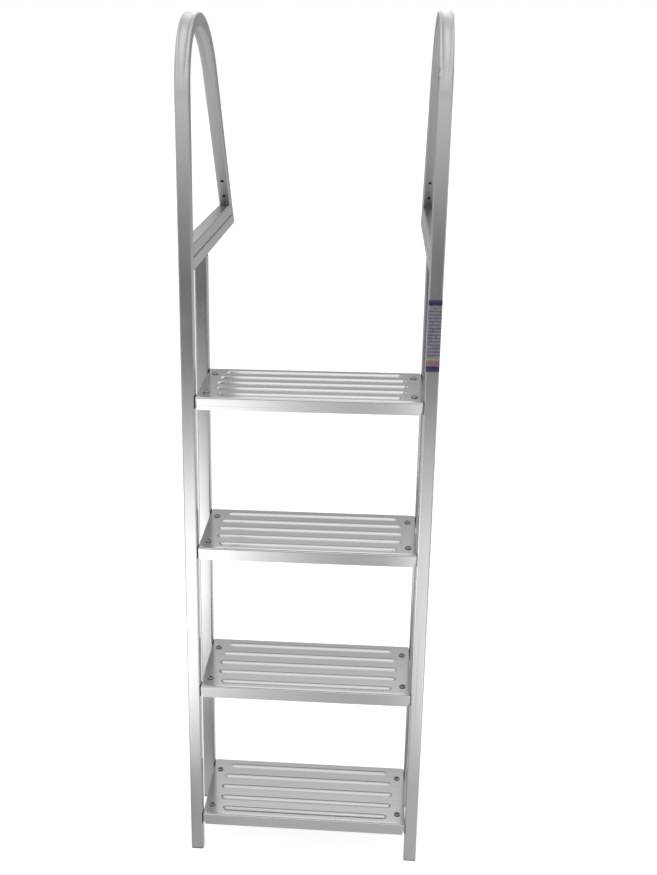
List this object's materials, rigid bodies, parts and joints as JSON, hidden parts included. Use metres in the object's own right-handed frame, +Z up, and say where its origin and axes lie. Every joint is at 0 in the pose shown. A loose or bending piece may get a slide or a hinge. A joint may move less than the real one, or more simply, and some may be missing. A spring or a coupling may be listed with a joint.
{
  "type": "dock ladder",
  "caption": "Fixed aluminium dock ladder: square-tube side frames with bent-over handrail loops, level deck bars and deep embossed treads.",
  "frame": {"origin": "middle of the flat underside of the left deck bar, behind the rear tube, where the bar rests on the dock", "axes": "+X across the treads, from the left rail to the right rail of a person who climbs; +Y towards the dock; +Z up"},
  "size_m": [0.476, 0.6592, 1.6771],
  "materials": {
    "tube": "satin anodised square tube",
    "tread": "satin folded sheet with embossed beads",
    "bracket": "mill finish angle",
    "plug": "dark moulded plug",
    "screw": "stainless pan head",
    "label": "plain printed film in bands"
  },
  "bodies": {
    "root": {"left_handrail_tube": "tube", "left_rear_tube": "tube", "left_deck_bar": "tube", "left_brace_bar": "tube", "left_front_foot_plug": "plug", "left_rear_foot_plug": "plug", "right_handrail_tube": "tube", "right_rear_tube": "tube", "right_deck_bar": "tube", "right_brace_bar": "tube", "right_front_foot_plug": "plug", "right_rear_foot_plug": "plug", "tread_1": "tread", "left_bracket_1": "bracket", "right_bracket_1": "bracket", "tread_2": "tread", "left_bracket_2": "bracket", "right_bracket_2": "bracket", "tread_3": "tread", "left_bracket_3": "bracket", "right_bracket_3": "bracket", "tread_4": "tread", "left_bracket_4": "bracket", "right_bracket_4": "bracket"}
  },
  "joints": []
}
